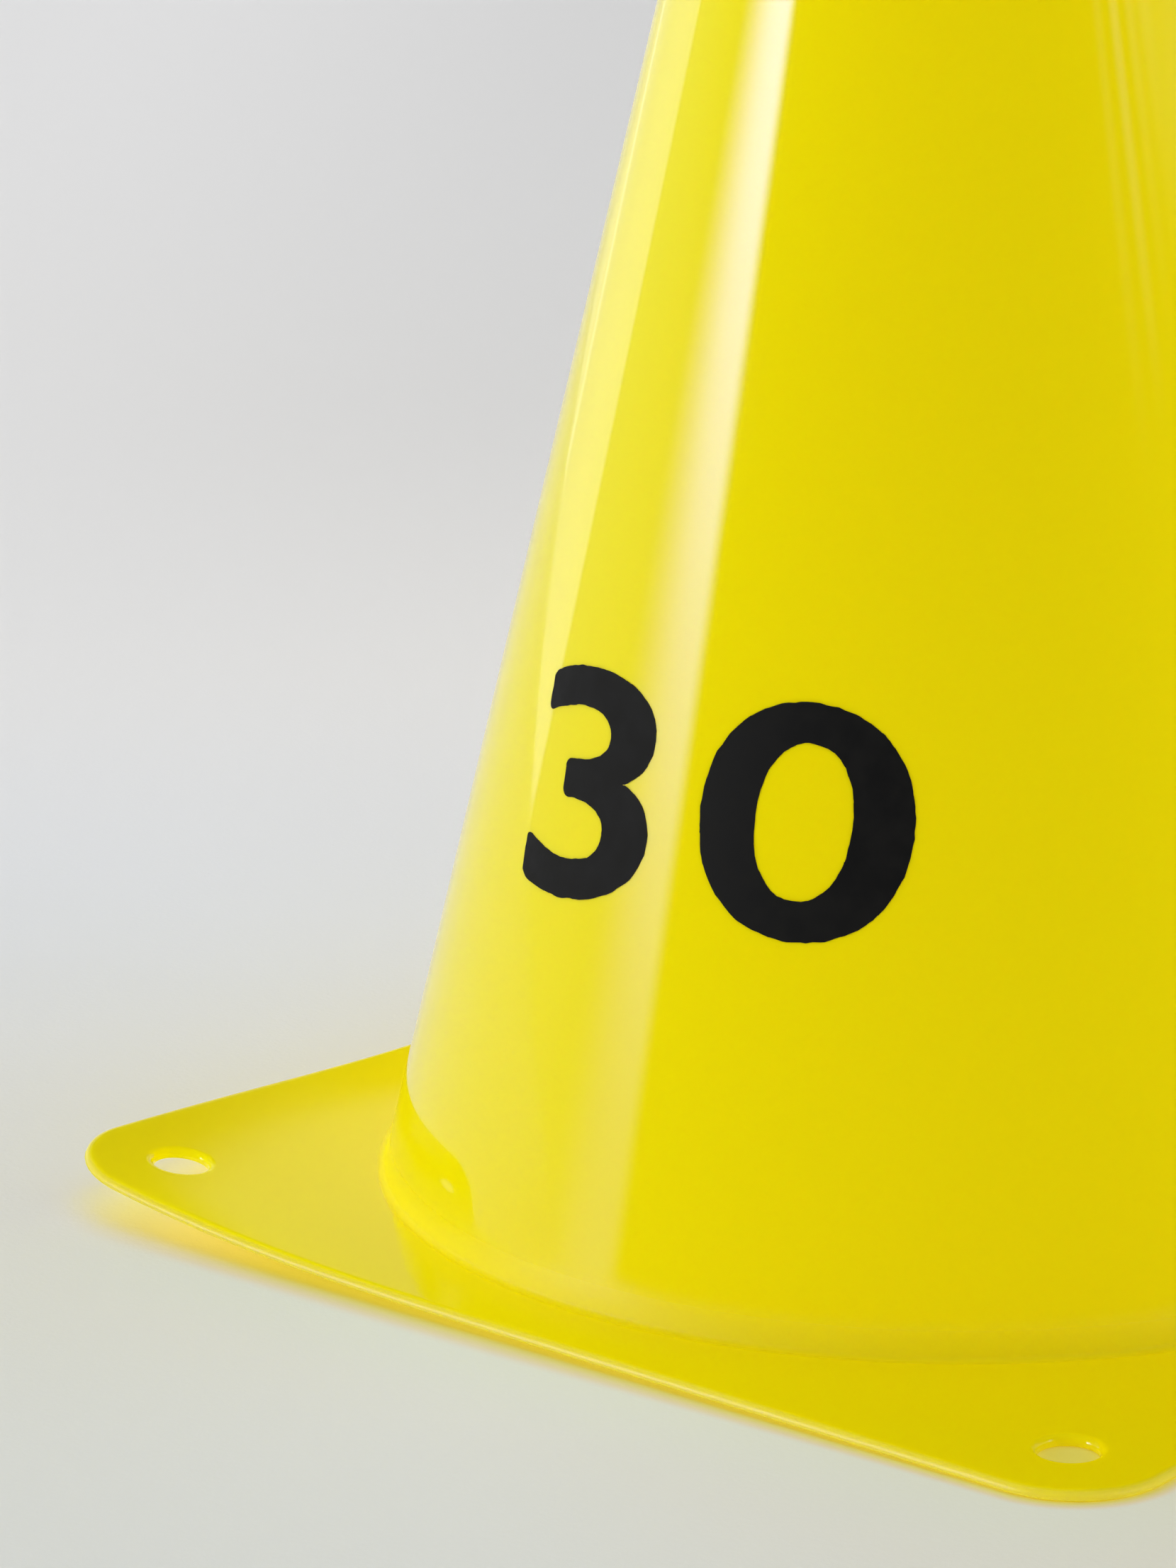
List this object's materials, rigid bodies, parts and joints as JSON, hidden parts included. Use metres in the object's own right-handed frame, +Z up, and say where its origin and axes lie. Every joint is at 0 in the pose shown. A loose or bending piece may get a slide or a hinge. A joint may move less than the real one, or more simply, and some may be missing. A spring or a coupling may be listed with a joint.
{
  "type": "training cone",
  "caption": "Thin-walled hollow training cone moulded in one piece with a square flange, open underneath, with a hole in its top and in each flange corner.",
  "frame": {"origin": "on the floor under the cone's axis, at the centre of the square flange's underside", "axes": "+Z up along the cone's axis; X and Y along the flange's sides; the flange's curled side faces +Y"},
  "size_m": [0.21, 0.21, 0.3],
  "materials": {
    "yellow_plastic": "glossy, slightly translucent moulded polyethylene, coloured right through",
    "black_ink": "satin black pad-printed ink for the plain number on the cone's wall"
  },
  "bodies": {
    "root": {"moulded_cone": "yellow_plastic"}
  },
  "joints": []
}
